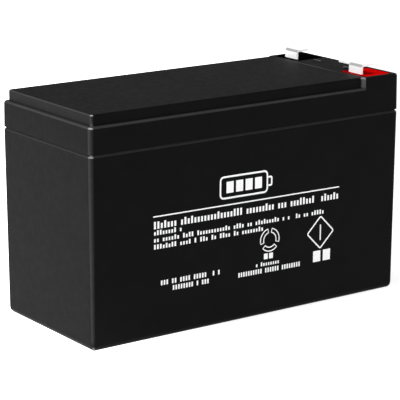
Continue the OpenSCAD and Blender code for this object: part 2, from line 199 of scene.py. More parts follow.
def paintedGlintShare(tree, facing, place):
    spread = product(tree, facing["X"], facing["Y"], facing["Z"])
    corners = remap(tree, spread, 0, 1, paintedHighlights["cornerFrom"], paintedHighlights["cornerTo"])
    along = between(tree, place["X"], paintedHighlights["stepFrom"], paintedHighlights["stepTo"])
    beside = mathNode(tree, "GREATER_THAN", mathNode(tree, "ABSOLUTE", place["Y"]), paintedHighlights["stepSide"])
    slanted = mathNode(tree, "LESS_THAN", facing["Y"], paintedHighlights["square"])
    overLedge = mathNode(tree, "GREATER_THAN", place["Z"], paintedHighlights["ledgeHigh"])
    height = remap(tree, place["Z"], paintedHighlights["stepShare"], paintedHighlights["stepTopShare"],
                   paintedHighlights["stepLow"], paintedHighlights["stepHigh"])
    return mathNode(tree, "MAXIMUM", corners, product(tree, along, beside, slanted, overLedge, height))


# Black ABS: a moulded skin with a very fine spark-eroded grain and slow, faint waves from cooling
blackPlastic = {
    "dark": (0.0022, 0.0022, 0.0024),
    "light": (0.0034, 0.0034, 0.0037),
    "mottleScale": 90,
    "end": None,                # the faces that look to the two ends may be painted lighter, as painted light on that side
    "endFrom": 0.8,
    # the painted highlight colour on edges and the ledge
    "paintedHighlight": (0.04, 0.04, 0.041),
    # the painted glint colour on corners and the step's slanted ends
    "paintedGlint": (0.22, 0.22, 0.22),
    "highlightUnevenScale": 260,
    "highlightUnevenLeast": 0.8,           # the painted highlight is uneven: its weakest share
    "roughScale": 420,
    "roughLow": 0.46,
    "roughHigh": 0.54,
    "specular": 0.042,
    "grainScale": 2600,         # bumps a metre, about 0.4 mm apart
    "grainStrength": 0.6,
    "grainDepth": 0.006 * mm,
    "waveScale": 38,
    "waveStrength": 0.5,
    "waveDepth": 0.03 * mm,
}
# What each moulding changes in it; the shift keeps their patterns apart
plasticFinishes = {
    "casePlastic": {"shift": 0},
    "lidPlastic": {"shift": 0.37},
    # the marks are painted paler than the skin, as a painted highlight along them
    "markPlasticPaintedHighlight": {"shift": 0.83, "dark": (0.05, 0.05, 0.05), "light": (0.07, 0.07, 0.07)},
    # the cover's end faces are painted lighter: painted light against the shade the ledge leaves on them
    "coverPlastic": {"shift": 0.61, "end": (0.011, 0.011, 0.0112)},
}


def makeBlackPlastic(name):
    look = {**blackPlastic, **plasticFinishes[name]}
    material, tree = newMaterial(name)
    point = objectPoint(tree, shift=(look["shift"], 0, 0))
    facing = unsignedAxes(tree, coordinates(tree)["Normal"])
    place = axesOf(tree, coordinates(tree)["Object"])
    mottle = noise(tree, point, look["mottleScale"], detail=4, roughness=0.6)
    skin = blend(tree, remap(tree, mottle, 0, 1), look["dark"], look["light"])
    # faces that look to the ends take the painted light
    if look["end"]:
        skin = blend(tree, remap(tree, facing["X"], 0, 1, look["endFrom"], 1), skin, look["end"])
    highlightUnevenness = noise(tree, point, look["highlightUnevenScale"], detail=3, roughness=0.6)
    # rounded edges and the ledge are painted paler as painted highlights, unevenly
    paintedHighlight = product(tree, paintedHighlightShare(tree, facing, place), remap(tree, highlightUnevenness, look["highlightUnevenLeast"], 1))
    highlighted = blend(tree, paintedHighlight, skin, look["paintedHighlight"])
    rough = noise(tree, point, look["roughScale"], detail=3)
    wave = noise(tree, point, look["waveScale"], detail=1)
    waves = bumpFrom(tree, wave, look["waveStrength"], look["waveDepth"])
    grain = noise(tree, point, look["grainScale"], detail=2)
    dress(tree, {
        # corners and the step's slanted ends are painted up to a pale painted glint
        "Base Color": blend(tree, paintedGlintShare(tree, facing, place), highlighted, look["paintedGlint"]),
        "Roughness": remap(tree, rough, look["roughLow"], look["roughHigh"]),
        "Normal": bumpFrom(tree, grain, look["grainStrength"], look["grainDepth"], waves),
        "Specular IOR Level": look["specular"],
    })
    return material


# Tin on copper strip: bright satin with fine rolling marks, and a painted shade, greyer, on the outside of the
# bend
tinPlate = {
    "dull": (0.88, 0.88, 0.88),
    "bright": (0.97, 0.97, 0.97),
    "bloomScale": 700,
    "bent": (0.3, 0.3, 0.3),
    "bentFrom": 0.05,           # the painted shade lies where the outside of the bend looks up and to the left
    "bentTo": 0.35,
    "metallic": 0.2,
    "roughLow": 0.36,
    "roughHigh": 0.46,
    "rollingStretch": (9000, 500, 9000),
    "rollingStrength": 0.2,
    "rollingDepth": 0.002 * mm,
}


def makeTinPlate():
    material, tree = newMaterial("tinPlate")
    bloom = noise(tree, objectPoint(tree), tinPlate["bloomScale"], detail=4, roughness=0.6)
    flat = blend(tree, remap(tree, bloom, 0, 1), tinPlate["dull"], tinPlate["bright"])
    facing = axesOf(tree, coordinates(tree)["Normal"])
    # the outside of the bend, looking up and to the left, is painted grey as painted shade standing for a
    # darker reflection
    outwards = product(tree, facing["X"], -1, facing["Z"])
    bendShadeShare = remap(tree, outwards, 0, 1, tinPlate["bentFrom"], tinPlate["bentTo"])
    rolling = noise(tree, objectPoint(tree, stretch=tinPlate["rollingStretch"]), 1, detail=3)
    dress(tree, {
        "Base Color": blend(tree, bendShadeShare, flat, tinPlate["bent"]),
        "Roughness": remap(tree, rolling, tinPlate["roughLow"], tinPlate["roughHigh"]),
        "Normal": bumpFrom(tree, rolling, tinPlate["rollingStrength"], tinPlate["rollingDepth"]),
        "Metallic": tinPlate["metallic"],
    })
    return material


# Poured epoxy: slow ripples, a little clouding of the pigment, and a painted shadow, darker towards the wall
# next to the cover
resinPigments = {
    "redResin": {"dark": (0.34, 0.001, 0.001), "light": (0.44, 0.0015, 0.0015), "paintedShadow": (0.15, 0.002, 0.004)},
    "blackResin": {"dark": (0.0006, 0.0006, 0.0007), "light": (0.0012, 0.0012, 0.0013),
                   "paintedShadow": (0.0004, 0.0004, 0.0004)},
}
resinLook = {
    "cloudScale": 260,
    # the painted shadow darkens the resin from here to the wall
    "shadowFrom": 61.6 * mm,
    "shadowTo": 59.2 * mm,
    "roughScale": 900,
    "roughLow": 0.44,
    "roughHigh": 0.52,
    "specular": 0,
    "rippleScale": 190,
    "rippleStrength": 0.4,
    "rippleDepth": 0.04 * mm,
}


def makeResin(name):
    pigment = resinPigments[name]
    material, tree = newMaterial(name)
    point = objectPoint(tree)
    cloud = noise(tree, point, resinLook["cloudScale"], detail=3, roughness=0.6)
    clouded = blend(tree, remap(tree, cloud, 0, 1), pigment["dark"], pigment["light"])
    # painted shadow: darker towards the wall next to the cover
    paintedShadowShare = remap(tree, axesOf(tree, point)["X"], 0, 1, resinLook["shadowFrom"], resinLook["shadowTo"])
    rough = noise(tree, point, resinLook["roughScale"], detail=2)
    ripple = noise(tree, point, resinLook["rippleScale"], detail=1)
    dress(tree, {
        "Base Color": blend(tree, paintedShadowShare, clouded, pigment["paintedShadow"]),
        "Roughness": remap(tree, rough, resinLook["roughLow"], resinLook["roughHigh"]),
        "Normal": bumpFrom(tree, ripple, resinLook["rippleStrength"], resinLook["rippleDepth"]),
        "Specular IOR Level": resinLook["specular"],
    })
    return material


# White printing ink: thin and matt, a little uneven in cover
whiteInk = {
    "thin": (0.8, 0.8, 0.8),
    "full": (0.93, 0.93, 0.93),
    "rough": 0.55,
    "coverScale": 1500,
    "coverStrength": 0.3,
    "coverDepth": 0.004 * mm,
}


def makeWhiteInk():
    material, tree = newMaterial("whiteInk")
    cover = noise(tree, objectPoint(tree), whiteInk["coverScale"], detail=3, roughness=0.6)
    dress(tree, {
        "Base Color": blend(tree, remap(tree, cover, 0, 1), whiteInk["thin"], whiteInk["full"]),
        "Normal": bumpFrom(tree, cover, whiteInk["coverStrength"], whiteInk["coverDepth"]),
        "Roughness": whiteInk["rough"],
    })
    return material


# Inner pieces, seen only when the case is taken apart
innerFinishes = {
    "soft_rubber": {
        "dark": (0.012, 0.012, 0.013), "light": (0.022, 0.022, 0.023), "rough": 0.75, "metallic": 0,
        "scale": 500},
    "positive_paste": {
        "dark": (0.05, 0.022, 0.014), "light": (0.1, 0.05, 0.032), "rough": 0.9, "metallic": 0, "scale": 650},
    "negative_paste": {
        "dark": (0.13, 0.14, 0.15), "light": (0.24, 0.25, 0.27), "rough": 0.8, "metallic": 0.2, "scale": 650},
    "glass_mat": {
        "dark": (0.7, 0.7, 0.66), "light": (0.88, 0.88, 0.85), "rough": 0.95, "metallic": 0, "scale": 900},
    "lead": {
        "dark": (0.2, 0.2, 0.215), "light": (0.36, 0.37, 0.39), "rough": 0.5, "metallic": 0.8, "scale": 320},
}
innerGrain = {"strength": 0.6, "depth": 0.1 * mm}


def makeInnerFinish(slotName):
    look = innerFinishes[slotName]
    material, tree = newMaterial(slotName + "Finish")
    grain = noise(tree, objectPoint(tree), look["scale"], detail=4, roughness=0.65)
    dress(tree, {
        "Base Color": blend(tree, remap(tree, grain, 0, 1), look["dark"], look["light"]),
        "Normal": bumpFrom(tree, grain, innerGrain["strength"], innerGrain["depth"]),
        "Roughness": look["rough"],
        "Metallic": look["metallic"],
    })
    return material


blackPlastics = {name: makeBlackPlastic(name) for name in plasticFinishes}
tin = makeTinPlate()
resins = {name: makeResin(name) for name in resinPigments}
ink = makeWhiteInk()
innerMaterials = {slotName: makeInnerFinish(slotName) for slotName in innerFinishes}


def coatNode(nodeName, finish):
    materials = frame["nodes"][nodeName].data.materials
    materials.clear()
    materials.append(finish)


for part in frame["record"]["subparts"]:
    if part["material_slot"] in innerMaterials:
        coatNode(part["node"], innerMaterials[part["material_slot"]])
print("stage: materials made")


def keepPiece(piece, slotName, *nodes):
    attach(piece, "root")
    if nodes:
        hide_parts(*nodes)


def linkObject(name, data):
    made = bpy.data.objects.new(name, data)
    scene.collection.objects.link(made)
    return made


def settle(host):
    # the evaluated shape becomes the object's own plain mesh, and its modifiers go
    bpy.context.view_layer.update()
    graph = bpy.context.evaluated_depsgraph_get()
    mesh = bpy.data.meshes.new_from_object(host.evaluated_get(graph), depsgraph=graph)
    host.modifiers.clear()
    host.data = mesh
    return host


def toMesh(work, name):
    mesh = bpy.data.meshes.new(name)
    work.to_mesh(mesh)
    work.free()
    return mesh


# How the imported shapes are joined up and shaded
joining = {
    "reach": 0.001 * mm,
    "flat": math.radians(0.6),      # edges that turn less than this are dissolved
    "sharp": math.radians(40),      # those that turn more than this are eased
    "weight": 100,                  # large faces set the shading of the eased edges beside them
}


def smoothCopy(name, nodeName, finish):
    # the node's loose triangles, joined at their corners
    work = bmesh.new()
    work.from_mesh(frame["nodes"][nodeName].data)
    bmesh.ops.remove_doubles(work, verts=work.verts, dist=joining["reach"])
    bmesh.ops.dissolve_limit(work, angle_limit=joining["flat"], verts=work.verts, edges=work.edges)
    for face in work.faces:
        face.smooth = True
        face.material_index = 0
    mesh = toMesh(work, name)
    mesh.materials.append(finish)
    return linkObject(name, mesh)


def ease(piece, width, segments, limit):
    bevel = piece.modifiers.new("ease", "BEVEL")
    bevel.width = width
    bevel.segments = segments
    bevel.limit_method = limit
    bevel.angle_limit = joining["sharp"]


def weighNormals(piece, keepSharp):
    weigh = piece.modifiers.new("weigh", "WEIGHTED_NORMAL")
    weigh.weight = joining["weight"]
    weigh.keep_sharp = keepSharp


# Moulded shells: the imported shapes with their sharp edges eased, as a mould leaves them
shells = {
    "caseShell": {"node": "container", "finish": "casePlastic"},
    "lidShell": {"node": "lid", "finish": "lidPlastic"},
    "coverShell": {"node": "vent_cover", "finish": "coverPlastic"},
}
shellEase = {
    "width": 0.55 * mm,         # at the ends of the terminal block's step
    "usual": 0.36,              # every other edge takes this share of that width
    "segments": 2,
}
coverJoint = {"from": 55.9 * mm, "to": 56.3 * mm}    # along the battery
stepEnd = {"from": 56 * mm, "to": 57.1 * mm, "side": 30.5 * mm, "up": 91.8 * mm}


def atCoverJoint(edge):
    return all(coverJoint["from"] < vert.co.x < coverJoint["to"] for vert in edge.verts)


def atStepEnd(edge):
    # the short slanted edges where the terminal block's step runs out to the sides
    return all(stepEnd["from"] < vert.co.x < stepEnd["to"] and abs(vert.co.y) > stepEnd["side"]
               and vert.co.z > stepEnd["up"] for vert in edge.verts)


def markOuterEdges(mesh):
    # the bevel eases sharp edges that point outwards; inner corners and the cover's joint stay as they are
    work = bmesh.new()
    work.from_mesh(mesh)
    sharp = [edge for edge in work.edges if edge.calc_face_angle(0) > joining["sharp"]]
    shares = {edge.index: 1 if atStepEnd(edge) else shellEase["usual"] for edge in sharp
              if edge.is_convex and not atCoverJoint(edge)}
    kept = {edge.index for edge in sharp} - set(shares)
    broken = [edge.index in kept for edge in work.edges]
    work.free()
    weights = mesh.attributes.new("bevel_weight_edge", "FLOAT", "EDGE")
    for index, share in shares.items():
        weights.data[index].value = share
    breaks = mesh.attributes.get("sharp_edge") or mesh.attributes.new("sharp_edge", "BOOLEAN", "EDGE")
    breaks.data.foreach_set("value", broken)


def makeShell(name):
    nodeName = shells[name]["node"]
    shell = smoothCopy(name, nodeName, blackPlastics[shells[name]["finish"]])
    markOuterEdges(shell.data)
    ease(shell, shellEase["width"], shellEase["segments"], "WEIGHT")
    weighNormals(shell, keepSharp=True)
    keepPiece(settle(shell), "case_plastic", nodeName)


for shellName in shells:
    makeShell(shellName)
print("stage: shells made")

# Tabs: stamped strip, its edges broken by the punch
tabs = {"frontTab": "positive_tab", "rearTab": "negative_tab"}
tabEase = {"width": 0.08 * mm, "segments": 3}


def makeTab(name):
    tab = smoothCopy(name, tabs[name], tin)
    ease(tab, tabEase["width"], tabEase["segments"], "ANGLE")
    weighNormals(tab, keepSharp=False)
    keepPiece(settle(tab), "tinned_metal", tabs[name])


for tabName in tabs:
    makeTab(tabName)
print("stage: tabs made")


def newGeometryTree(name, entries):
    tree = bpy.data.node_groups.new(name, "GeometryNodeTree")
    tree.interface.new_socket("Geometry", in_out="INPUT", socket_type="NodeSocketGeometry")
    for label, kind in entries.items():
        tree.interface.new_socket(label, in_out="INPUT", socket_type="NodeSocket" + kind)
    tree.interface.new_socket("Geometry", in_out="OUTPUT", socket_type="NodeSocketGeometry")
    return tree, addNode(tree, "NodeGroupInput").outputs


def endTree(tree, shape, material):
    real = addNode(tree, "GeometryNodeRealizeInstances", {"Geometry": shape}).outputs["Geometry"]
    painted = addNode(tree, "GeometryNodeSetMaterial", {"Geometry": real, "Material": material})
    addNode(tree, "NodeGroupOutput", {"Geometry": painted.outputs["Geometry"]})


def runTree(name, tree, values, mesh=None):
    host = linkObject(name, mesh or bpy.data.meshes.new(name))
    modifier = host.modifiers.new("tree", "NODES")
    modifier.node_group = tree
    sockets = {entry.name: entry.identifier for entry in tree.interface.items_tree if entry.in_out == "INPUT"}
    for label, value in values.items():
        modifier[sockets[label]] = value
    return settle(host)


def randomPick(tree, share, seed):
    # output 3 is the one that says yes or no
    values = {"Probability": share, "Seed": seed}
    return addNode(tree, "FunctionNodeRandomValue", values, data_type="BOOLEAN").outputs[3]


tallShift = 100    # tall blocks are drawn with a seed this far from that of the gaps


# Rows of plain blocks stand for lines of small print. The block itself is 1 high, and each copy's
# scale gives it its height
def makeBlockRowTree():
    tree, given = newGeometryTree("blockRow", {
        "Blocks": "Int", "Pitch": "Float", "Block Width": "Float", "Low Height": "Float",
        "Tall Height": "Float", "Tall Share": "Float", "Gap Share": "Float", "Ink Thickness": "Float",
        "Seed": "Int", "Ink": "Material"})
    places = addNode(tree, "GeometryNodeMeshLine",
                     {"Count": given["Blocks"], "Offset": combine(tree, given["Pitch"], 0, 0)})
    gap = randomPick(tree, given["Gap Share"], given["Seed"])
    kept = addNode(tree, "GeometryNodeDeleteGeometry",
                   {"Geometry": places.outputs["Mesh"], "Selection": gap}, domain="POINT")
    tall = randomPick(tree, given["Tall Share"], mathNode(tree, "ADD", given["Seed"], tallShift))
    height = addNode(tree, "GeometryNodeSwitch", {
        "Switch": tall, "False": given["Low Height"], "True": given["Tall Height"]}, input_type="FLOAT")
    block = addNode(tree, "GeometryNodeMeshCube",
                    {"Size": combine(tree, given["Block Width"], 1, given["Ink Thickness"])})
    standing = addNode(tree, "GeometryNodeTransform",
                       {"Geometry": block.outputs["Mesh"], "Translation": (0, 0.5, 0)})
    row = addNode(tree, "GeometryNodeInstanceOnPoints", {
        "Points": kept.outputs["Geometry"], "Instance": standing.outputs["Geometry"],
        "Scale": combine(tree, 1, height.outputs["Output"], 1)})
    endTree(tree, row.outputs["Instances"], given["Ink"])
    return tree


# Strokes of ink of one width along drawn paths
def makeStrokeTree():
    tree, given = newGeometryTree("inkStroke", {
        "Stroke Width": "Float", "Corner Radius": "Float", "Corner Steps": "Int", "Ink Thickness": "Float",
        "Ink": "Material"})
    path = addNode(tree, "GeometryNodeMeshToCurve", {"Mesh": given["Geometry"]})
    rounded = addNode(tree, "GeometryNodeFilletCurve", {
        "Curve": path.outputs["Curve"], "Radius": given["Corner Radius"], "Count": given["Corner Steps"],
        "Limit Radius": True}, mode="POLY")
    upright = addNode(tree, "GeometryNodeSetCurveNormal", {"Curve": rounded.outputs["Curve"]}, mode="Z_UP")
    section = addNode(tree, "GeometryNodeCurvePrimitiveQuadrilateral",
                      {"Width": given["Stroke Width"], "Height": given["Ink Thickness"]})
    stroke = addNode(tree, "GeometryNodeCurveToMesh", {
        "Curve": upright.outputs["Curve"], "Profile Curve": section.outputs["Curve"], "Fill Caps": True})
    endTree(tree, stroke.outputs["Mesh"], given["Ink"])
    return tree


# The front print, in millimetres from the middle of the front and up from the base
frontPrint = {
    "inkThickness": 0.03,
    "tilt": -0.012,             # it lies slightly askew on the case: rise for each millimetre to the right
    "rayHeights": (20, 60),     # where the leaning front face is measured, by rays that start before it
    "rayStart": -200,
    # Small print: each row's blocks are low or tall, with gaps between
    "small": {"blockShare": 0.56, "tallShare": 0.35, "gapShare": 0.13, "rows": [
        {"left": -47.2, "foot": 43.9, "length": 91.6, "low": 2.1, "tall": 2.9, "blocks": 58, "seed": 3},
        {"left": -47.1, "foot": 41.4, "length": 13.4, "low": 1.35, "tall": 1.9, "blocks": 10, "seed": 9},
        {"left": -47.1, "foot": 38.6, "length": 84.0, "low": 1.35, "tall": 1.9, "blocks": 62, "seed": 14},
        {"left": -47.1, "foot": 35.8, "length": 53.0, "low": 1.35, "tall": 1.9, "blocks": 39, "seed": 21},
        {"left": -43.9, "foot": 21.0, "length": 28.6, "low": 1.9, "tall": 1.9, "blocks": 22, "seed": 27},
        {"left": -38.3, "foot": 18.2, "length": 17.7, "low": 1.9, "tall": 1.9, "blocks": 14, "seed": 33},
        {"left": 2.2, "foot": 21.0, "length": 13.2, "low": 1.2, "tall": 1.7, "blocks": 11, "seed": 38},
        {"left": -6.6, "foot": 18.1, "length": 31.6, "low": 1.9, "tall": 1.9, "blocks": 26, "seed": 44},
    ]},
    # Bold blocks without gaps: four in the battery's outline, and two each under the ring and the diamond
    "bold": {"blockShare": 0.74, "tallShare": 0.0, "gapShare": 0.0, "rows": [
        {"left": -13.2, "foot": 53.6, "length": 18.6, "low": 4.6, "tall": 4.6, "blocks": 4, "seed": 1},
        {"left": 6.0, "foot": 23.7, "length": 5.2, "low": 2.3, "tall": 2.3, "blocks": 2, "seed": 1},
        {"left": 31.0, "foot": 18.6, "length": 10.2, "low": 4.6, "tall": 4.6, "blocks": 2, "seed": 1},
    ]},
    "rule": {"left": -47.2, "right": 44.5, "height": 48.8, "stroke": 0.5},
    "emblem": {"left": -15.5, "right": 7.5, "foot": 51.6, "top": 60.2, "stroke": 0.75, "corner": 1.6,
               "nubReach": 2.2, "nubHalf": 1.7, "nubCorner": 0.5},
    "ring": {"x": 9.2, "z": 31.5, "radius": 4.7, "band": 1.6, "stroke": 0.45, "arcs": 3, "open": 26,
             "steps": 14},
    "diamond": {"x": 35.2, "z": 30.85, "reach": 6.8, "stroke": 0.6, "corner": 0.7, "bar": 3.3},
    "cornerSteps": 5,
}


def frontFace():
    # where the front face lies at the base, and how much it leans for each metre up
    container = frame["nodes"]["container"].data
    tree = BVHTree.FromPolygons([vert.co for vert in container.vertices],
                                [face.vertices for face in container.polygons])
    low, high = (height * mm for height in frontPrint["rayHeights"])
    start = frontPrint["rayStart"] * mm
    lowHit, highHit = (tree.ray_cast(Vector((0, start, z)), Vector((0, 1, 0)))[0] for z in (low, high))
    lean = (highHit.y - lowHit.y) / (high - low)
    return lowHit.y - lean * low, lean


faceFoot, faceLean = frontFace()


def layOnFront(piece, left, foot):
    # turns a print drawn in XY up onto the front face, and follows the face's lean
    lift = frontPrint["inkThickness"] * mm / 2
    for vertex in piece.data.vertices:
        x, up, out = vertex.co
        x += left * mm
        z = foot * mm + up + frontPrint["tilt"] * x
        vertex.co = (x, faceFoot + faceLean * z - lift - out, z)
    return piece


def printRow(tree, style, row):
    pitch = row["length"] / row["blocks"]
    made = runTree("printRow", tree, {
        "Blocks": row["blocks"], "Pitch": pitch * mm, "Block Width": pitch * style["blockShare"] * mm,
        "Low Height": row["low"] * mm, "Tall Height": row["tall"] * mm, "Tall Share": style["tallShare"],
        "Gap Share": style["gapShare"], "Ink Thickness": frontPrint["inkThickness"] * mm,
        "Seed": row["seed"], "Ink": ink})
    return layOnFront(made, row["left"] + pitch / 2, row["foot"])


def printStroke(tree, points, width, corner=0, closed=False):
    edges = [(i, i + 1) for i in range(len(points) - 1)]
    if closed:
        edges.append((len(points) - 1, 0))
    mesh = bpy.data.meshes.new("printStroke")
    mesh.from_pydata([(x * mm, y * mm, 0) for x, y in points], edges, [])
    made = runTree("printStroke", tree, {
        "Stroke Width": width * mm, "Corner Radius": corner * mm, "Corner Steps": frontPrint["cornerSteps"],
        "Ink Thickness": frontPrint["inkThickness"] * mm, "Ink": ink}, mesh)
    return layOnFront(made, 0, 0)


def arcPoints(x, z, radius, start, end, steps):
    turns = [math.radians(start + (end - start) * k / steps) for k in range(steps + 1)]
    return [(x + radius * math.cos(turn), z + radius * math.sin(turn)) for turn in turns]


def printEmblem(tree):
    # the outline of a battery, with the nub of its pole at the right
    emblem = frontPrint["emblem"]
    left, right, foot, top = (emblem[name] for name in ("left", "right", "foot", "top"))
    body = [(left, foot), (right, foot), (right, top), (left, top)]
    middle = (foot + top) / 2
    low = middle - emblem["nubHalf"]
    high = middle + emblem["nubHalf"]
    tip = right + emblem["nubReach"]
    nub = [(right, low), (tip, low), (tip, high), (right, high)]
    return [printStroke(tree, body, emblem["stroke"], emblem["corner"], closed=True),
            printStroke(tree, nub, emblem["stroke"], emblem["nubCorner"])]


def printRing(tree):
    # outlined arcs with openings between, the first opening at the top
    ring = frontPrint["ring"]
    sweep = 360 / ring["arcs"]
    arcs = []
    for k in range(ring["arcs"]):
        start = 90 + k * sweep + ring["open"] / 2
        stop = start + sweep - ring["open"]
        outer = arcPoints(ring["x"], ring["z"], ring["radius"], start, stop, ring["steps"])
        inner = arcPoints(ring["x"], ring["z"], ring["radius"] - ring["band"], stop, start, ring["steps"])
        arcs.append(printStroke(tree, outer + inner, ring["stroke"], closed=True))
    return arcs


def printDiamond(tree):
    diamond = frontPrint["diamond"]
    x, z, reach, bar = (diamond[name] for name in ("x", "z", "reach", "bar"))
    rim = [(x + reach, z), (x, z + reach), (x - reach, z), (x, z - reach)]
    return [printStroke(tree, rim, diamond["stroke"], diamond["corner"], closed=True),
            printStroke(tree, [(x, z - bar), (x, z + bar)], diamond["stroke"])]


def makeFrontPrint():
    rowTree = makeBlockRowTree()
    parts = [printRow(rowTree, frontPrint[style], row) for style in ("small", "bold")
             for row in frontPrint[style]["rows"]]
    strokeTree = makeStrokeTree()
    rule = frontPrint["rule"]
    ends = [(rule["left"], rule["height"]), (rule["right"], rule["height"])]
    parts.append(printStroke(strokeTree, ends, rule["stroke"]))
    parts += printEmblem(strokeTree) + printRing(strokeTree) + printDiamond(strokeTree)
    work = bmesh.new()
    for part in parts:
        work.from_mesh(part.data)
        bpy.data.objects.remove(part)
    bmesh.ops.recalc_face_normals(work, faces=work.faces)
    mesh = toMesh(work, "frontPrint")
    mesh.materials.append(ink)
    keepPiece(linkObject("frontPrint", mesh), "white_print")


makeFrontPrint()
print("stage: front print made")

# Moulded polarity marks on the terminal block, in millimetres: raised bars of the lid's plastic, coloured paler
# all over as a painted highlight
polarityMarks = {
    "x": 66.2,
    "y": 10,                # one mark this far to each side of the middle
    "reach": 2.2,
    "width": 1.1,
    "height": 0.35,
    "sink": 0.05,           # how deep they stand in the lid
    "ease": 0.18,
    "segments": 2,
}


def quarterTurned(points, turns):
    for _ in range(turns):
        points = [(-y, x) for x, y in points]
    return points


def markOutline(reach, width, crossed):
    half = width / 2
    if not crossed:
        return [(-half, -reach), (half, -reach), (half, reach), (-half, reach)]
    arm = [(half, -half), (reach, -half), (reach, half)]    # one arm of the cross, turned for the others
    return [point for turns in range(4) for point in quarterTurned(arm, turns)]


def makePolarityMark(name, y, crossed):
    marks = polarityMarks
    work = bmesh.new()
    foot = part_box("lid")[1][2] - marks["sink"] * mm
    corners = [work.verts.new(((marks["x"] + x) * mm, (y + across) * mm, foot))
               for x, across in markOutline(marks["reach"], marks["width"], crossed)]
    base = work.faces.new(corners)
    raised = bmesh.ops.extrude_face_region(work, geom=[base])["geom"]
    top = [item for item in raised if isinstance(item, bmesh.types.BMVert)]
    bmesh.ops.translate(work, vec=(0, 0, (marks["height"] + marks["sink"]) * mm), verts=top)
    bmesh.ops.recalc_face_normals(work, faces=work.faces)
    mesh = toMesh(work, name)
    mesh.materials.append(blackPlastics["markPlasticPaintedHighlight"])
    mark = linkObject(name, mesh)
    ease(mark, marks["ease"] * mm, marks["segments"], "ANGLE")
    keepPiece(settle(mark), "case_plastic")


makePolarityMark("minusMark", polarityMarks["y"], crossed=False)
makePolarityMark("plusMark", -polarityMarks["y"], crossed=True)
print("stage: polarity marks made")

# Poured resin: it climbs the tab's leg and the well's wall, as a liquid does before it sets
pouredResin = {
    "inset": 0.04 * mm,         # from the seal's own wall
    "corner": 2.5 * mm,
    "cornerSteps": 10,
    "depth": 0.06 * mm,
    "above": 0.02 * mm,         # how far its surface lies over the seal's
    "legClimb": 0.4 * mm,
    "legReach": 1.1 * mm,
    "legWidth": 8 * mm,         # the leg starts at the tab's low corner
    "legThickness": 0.8 * mm,
    "wallClimb": 0.12 * mm,
    "wallReach": 0.5 * mm,
    "splits": 4,
    "sewReach": 0.001 * mm,
}
pools = {
    "redResinTop": {
        "seal": "positive_seal", "tab": "positive_tab", "slot": "red_resin", "finish": "redResin"},
    "blackResinTop": {
        "seal": "negative_seal", "tab": "negative_tab", "slot": "black_resin", "finish": "blackResin"},
}


def edgeDistance(tree, point, halfX, halfY, corner):
    # signed distance to a rectangle with round corners: below 0 inside it
    size = unsignedAxes(tree, point)
    beyondX, beyondY = (mathNode(tree, "ADD", mathNode(tree, "SUBTRACT", size[axis], half), corner)
                        for axis, half in (("X", halfX), ("Y", halfY)))
    outer = combine(tree, mathNode(tree, "MAXIMUM", beyondX, 0), mathNode(tree, "MAXIMUM", beyondY, 0), 0)
    length = addNode(tree, "ShaderNodeVectorMath", {0: outer}, operation="LENGTH").outputs["Value"]
    inside = mathNode(tree, "MINIMUM", mathNode(tree, "MAXIMUM", beyondX, beyondY), 0)
    return mathNode(tree, "SUBTRACT", mathNode(tree, "ADD", length, inside), corner)


def climb(tree, distance, height, reach):
    # a meniscus: full height at its wall, falling off fast at first and then slowly
    share = mathNode(tree, "DIVIDE", mathNode(tree, "MAXIMUM", distance, 0), reach)
    return product(tree, mathNode(tree, "EXPONENT", product(tree, share, -1)), height)


def makePouredResinTree():
    tree, given = newGeometryTree("pouredResin", {
        "Length": "Float", "Width": "Float", "Corner": "Float", "Corner Steps": "Int", "Leg Place": "Vector",
        "Leg Half Length": "Float", "Leg Half Width": "Float", "Leg Climb": "Float", "Leg Reach": "Float",
        "Wall Climb": "Float", "Wall Reach": "Float", "Depth": "Float", "Splits": "Int",
        "Sew Reach": "Float", "Resin": "Material"})
    rim = addNode(tree, "GeometryNodeCurvePrimitiveQuadrilateral",
                  {"Width": given["Length"], "Height": given["Width"]})
    rounded = addNode(tree, "GeometryNodeFilletCurve", {
        "Curve": rim.outputs["Curve"], "Radius": given["Corner"],
        "Count": given["Corner Steps"]}, mode="POLY")
    fill = addNode(tree, "GeometryNodeFillCurve", {"Curve": rounded.outputs["Curve"]}, mode="NGONS")
    fine = addNode(tree, "GeometryNodeSubdivideMesh", {
        "Mesh": fill.outputs["Mesh"], "Level": given["Splits"]}).outputs["Mesh"]
    raised = addNode(tree, "GeometryNodeExtrudeMesh", {
        "Mesh": fine, "Offset": (0, 0, 1), "Offset Scale": given["Depth"], "Individual": False}, mode="FACES")
    place = addNode(tree, "GeometryNodeInputPosition").outputs["Position"]
    fromLeg = addNode(tree, "ShaderNodeVectorMath", {0: place, 1: given["Leg Place"]}, operation="SUBTRACT")
    legGap = edgeDistance(tree, fromLeg.outputs["Vector"], given["Leg Half Length"],
                          given["Leg Half Width"], 0)
    halfLength = product(tree, given["Length"], 0.5)
    halfWidth = product(tree, given["Width"], 0.5)
    wallGap = product(tree, edgeDistance(tree, place, halfLength, halfWidth, given["Corner"]), -1)
    lift = mathNode(tree, "ADD", climb(tree, legGap, given["Leg Climb"], given["Leg Reach"]),
                    climb(tree, wallGap, given["Wall Climb"], given["Wall Reach"]))
    shaped = addNode(tree, "GeometryNodeSetPosition", {
        "Geometry": raised.outputs["Mesh"], "Selection": raised.outputs["Top"],
        "Offset": combine(tree, 0, 0, lift)})
    under = addNode(tree, "GeometryNodeFlipFaces", {"Mesh": fine})
    whole = addNode(tree, "GeometryNodeJoinGeometry", {"Geometry": shaped.outputs["Geometry"]})
    feed(tree, whole.inputs["Geometry"], under.outputs["Mesh"])
    sewn = addNode(tree, "GeometryNodeMergeByDistance", {
        "Geometry": whole.outputs["Geometry"], "Distance": given["Sew Reach"]})
    smooth = addNode(tree, "GeometryNodeSetShadeSmooth", {"Geometry": sewn.outputs["Geometry"]})
    endTree(tree, smooth.outputs["Geometry"], given["Resin"])
    return tree


